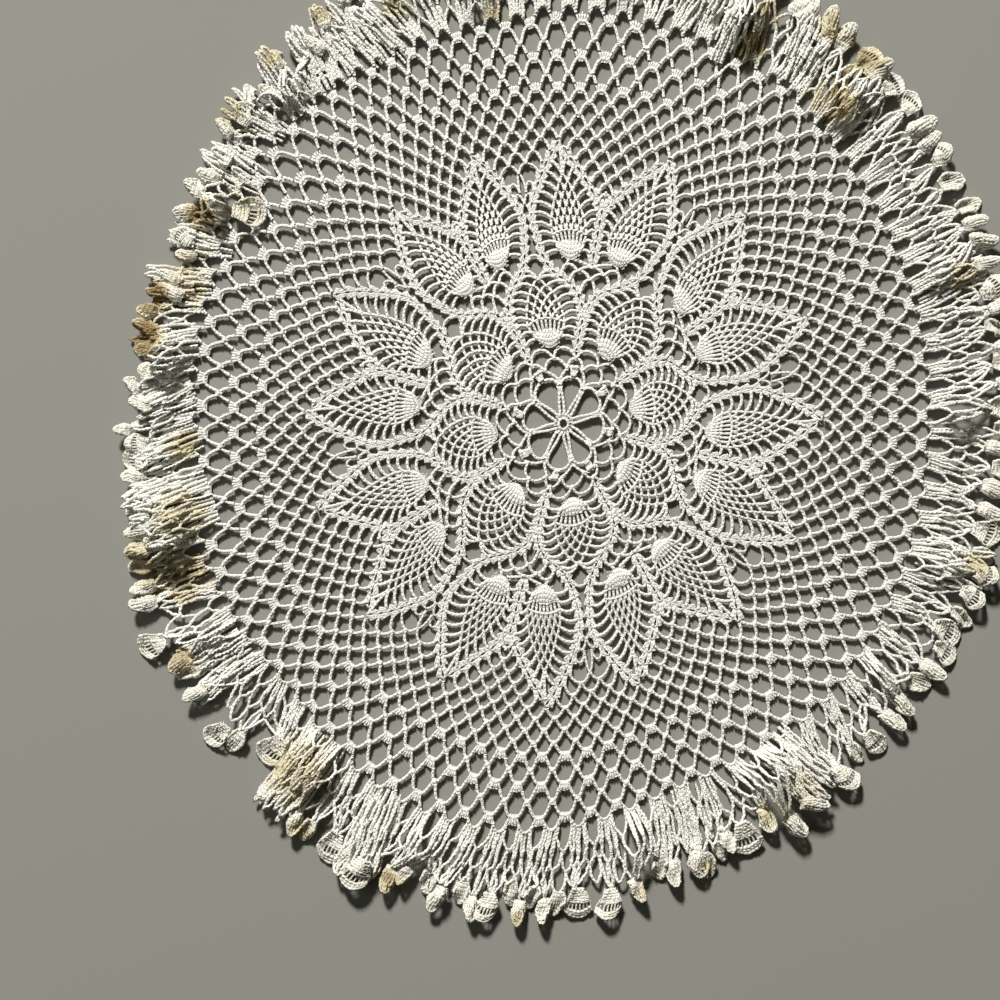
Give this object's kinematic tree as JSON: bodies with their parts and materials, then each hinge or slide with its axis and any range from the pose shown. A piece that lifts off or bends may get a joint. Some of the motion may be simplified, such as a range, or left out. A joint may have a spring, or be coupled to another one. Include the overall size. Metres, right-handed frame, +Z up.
{
  "type": "ruffled lace doily",
  "caption": "Round pineapple-lace doily of white crocheted cotton with a gathered ruffle edging, lying flat with its frill folded unevenly around it.",
  "frame": {"origin": "on the surface that the doily lies on, under the centre ring of the lace, which is the middle of the part's box", "axes": "+Z up out of the lace, +Y towards the top of the picture, +X to its right"},
  "size_m": [0.4195, 0.4589, 0.0181],
  "materials": {
    "ground_cotton": "matt",
    "frill_cotton": "matt"
  },
  "bodies": {
    "root": {"doily_ground": "ground_cotton", "ruffle_frill": "frill_cotton"}
  },
  "joints": []
}
